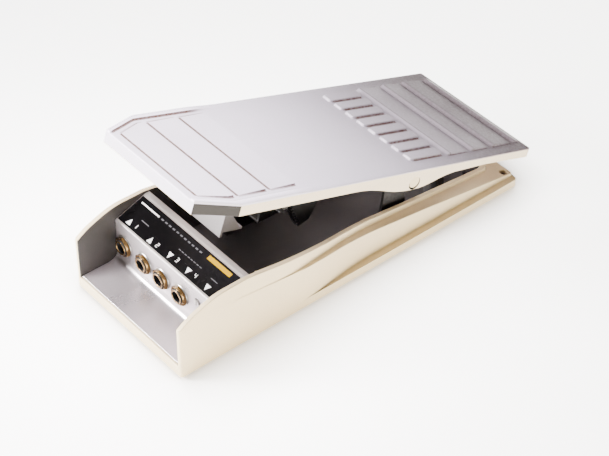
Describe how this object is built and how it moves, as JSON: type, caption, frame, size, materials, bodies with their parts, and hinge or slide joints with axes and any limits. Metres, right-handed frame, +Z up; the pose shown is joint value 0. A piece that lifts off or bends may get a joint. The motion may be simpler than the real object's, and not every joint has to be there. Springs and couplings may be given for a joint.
{
  "type": "volume pedal",
  "caption": "Foot-operated volume pedal: a long metal treadle rocks on a low tiered base with a row of jack sockets, a label and a trimmer under its toe end.",
  "frame": {"origin": "on the floor plane under the feet, at the middle of the pedal's length and width", "axes": "+Y from the toe end to the heel end, +X to the right seen from the heel end, +Z up"},
  "size_m": [0.095, 0.2579, 0.1081],
  "materials": {
    "cream_paint": "satin paint on cast metal",
    "silver_paint": "fine metallic silver paint",
    "panel_paint": "satin paint on folded sheet",
    "dark_steel": "dark passivated sheet steel",
    "bright_steel": "bright zinc",
    "gold_plating": "polished plating",
    "bronze": "oiled sintered bronze",
    "black_plastic": "moulded nylon",
    "label_black": "printed film on sheet",
    "rubber": "matt",
    "board": "phenolic board"
  },
  "bodies": {
    "base": {"base_shell": "cream_paint", "bottom_plate": "dark_steel", "jack_panel": "panel_paint", "label_plate": "label_black", "circuit_board": "board", "jack_body_input_a": "black_plastic", "jack_washer_input_a": "bright_steel", "jack_nut_input_a": "gold_plating", "jack_body_input_b": "black_plastic", "jack_washer_input_b": "bright_steel", "jack_nut_input_b": "gold_plating", "jack_body_output_a": "black_plastic", "jack_washer_output_a": "bright_steel", "jack_nut_output_a": "gold_plating", "jack_body_output_b": "black_plastic", "jack_washer_output_b": "bright_steel", "jack_nut_output_b": "gold_plating", "level_trimmer_body": "black_plastic", "pivot_bracket_right": "dark_steel", "pivot_bracket_left": "dark_steel", "pivot_bush_right": "bronze", "pivot_bush_left": "bronze", "pivot_bracket_screw_1": "bright_steel", "pivot_bracket_screw_2": "bright_steel", "pivot_bracket_screw_3": "bright_steel", "pivot_bracket_screw_4": "bright_steel", "pot_bracket": "dark_steel", "potentiometer": "dark_steel", "pot_nut": "bright_steel", "pot_bracket_screw_1": "bright_steel", "pot_bracket_screw_2": "bright_steel", "toe_stop_pad": "rubber", "heel_stop_pad_right": "rubber", "heel_stop_pad_left": "rubber", "foot_toe_left": "rubber", "foot_toe_right": "rubber", "foot_heel_left": "rubber", "foot_heel_right": "rubber", "plate_screw_1": "bright_steel", "plate_screw_2": "bright_steel", "plate_screw_3": "bright_steel", "plate_screw_4": "bright_steel", "heel_screw_1": "dark_steel", "heel_screw_2": "dark_steel"},
    "treadle_body": {"treadle": "silver_paint", "pivot_axle": "bright_steel", "pivot_cap_right": "cream_paint", "axle_clip_right": "bright_steel", "pivot_cap_left": "cream_paint", "axle_clip_left": "bright_steel", "sector_gear": "black_plastic", "toe_stop_bracket": "panel_paint", "sector_screw_1": "bright_steel", "sector_screw_2": "bright_steel", "stop_bracket_screw_1": "bright_steel", "stop_bracket_screw_2": "bright_steel"},
    "pot_spindle": {"pot_shaft": "bright_steel", "pinion": "black_plastic"},
    "trimmer": {"level_trimmer_screw": "bright_steel"}
  },
  "joints": [
    {"name": "treadle_tilt", "type": "hinge", "parent": "base", "child": "treadle_body", "pos_m": [0, 0.0355, 0.0496], "axis": [1, 0, 0], "range_deg": [0, 17]},
    {"name": "pot_spin", "type": "hinge", "parent": "base", "child": "pot_spindle", "pos_m": [0.0095, -0.02914, 0.04508], "axis": [1, 0, 0], "range_deg": [-244, 31]},
    {"name": "trimmer_turn", "type": "hinge", "parent": "base", "child": "trimmer", "pos_m": [0.0294, -0.1034, 0.0285], "axis": [0, -1, 0], "range_deg": [-135, 135]}
  ],
  "couplings": [
    {"joint": "pot_spin", "follows": "treadle_tilt", "ratio": -12.5}
  ]
}
